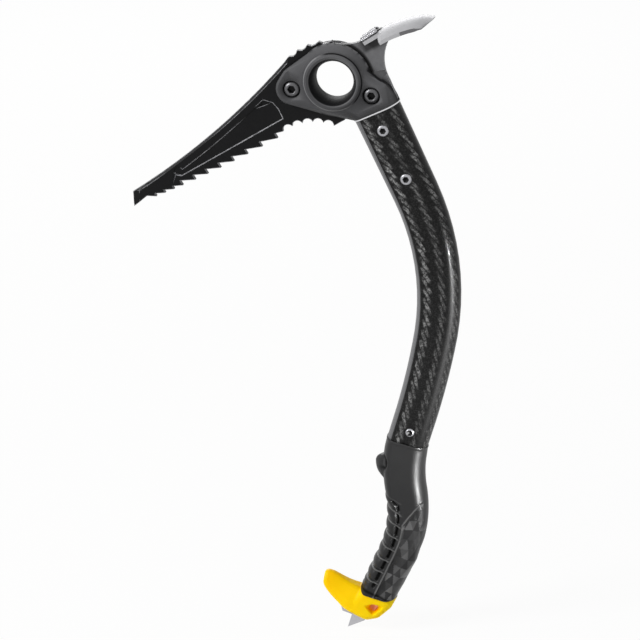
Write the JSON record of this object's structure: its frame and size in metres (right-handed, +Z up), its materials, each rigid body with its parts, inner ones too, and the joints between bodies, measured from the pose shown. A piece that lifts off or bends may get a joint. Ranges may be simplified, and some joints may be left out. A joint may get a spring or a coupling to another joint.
{
  "type": "ice climbing tool",
  "caption": "Technical ice axe: bowed carbon shaft, toothed pick and adze in a head with a round eye, ribbed rubber grip, and a pommel with a finger rest and a spike.",
  "frame": {"origin": "centre of the round eye in the head, half-way through its thickness", "axes": "+Y along the axis of the eye, across the tool; +X from the eye towards the adze, with the pick at -X; +Z up, with the shaft and the spike towards -Z"},
  "size_m": [0.2727, 0.0396, 0.5317],
  "materials": {
    "head": "matt dark grey",
    "collar": "bright",
    "pick": "gloss black",
    "mount": "satin grey",
    "blade": "satin bright",
    "weld": "bright bead",
    "bolt": "satin grey",
    "screw": "bright",
    "carbon": "clear gloss over carbon weave",
    "strip": "satin grey",
    "inner": "plain",
    "rubber": "matt",
    "yellow": "satin",
    "spike": "satin"
  },
  "bodies": {
    "root": {"head_forging": "head", "head_collar": "collar", "pick": "pick", "adze_mount": "mount", "adze_blade": "blade", "adze_welds": "weld", "pick_bolt": "bolt", "pick_bolt_nut": "bolt", "adze_bolt": "bolt", "adze_bolt_nut": "bolt", "shaft_tube": "carbon", "shaft_strip": "strip", "upper_shaft_screws": "screw", "upper_shaft_nuts": "screw", "lower_shaft_screw": "screw", "lower_shaft_nut": "screw", "lower_plug": "inner", "grip_sleeve": "rubber", "foot_insert": "inner", "spike": "spike", "spike_pins": "screw", "pommel": "yellow"}
  },
  "joints": []
}
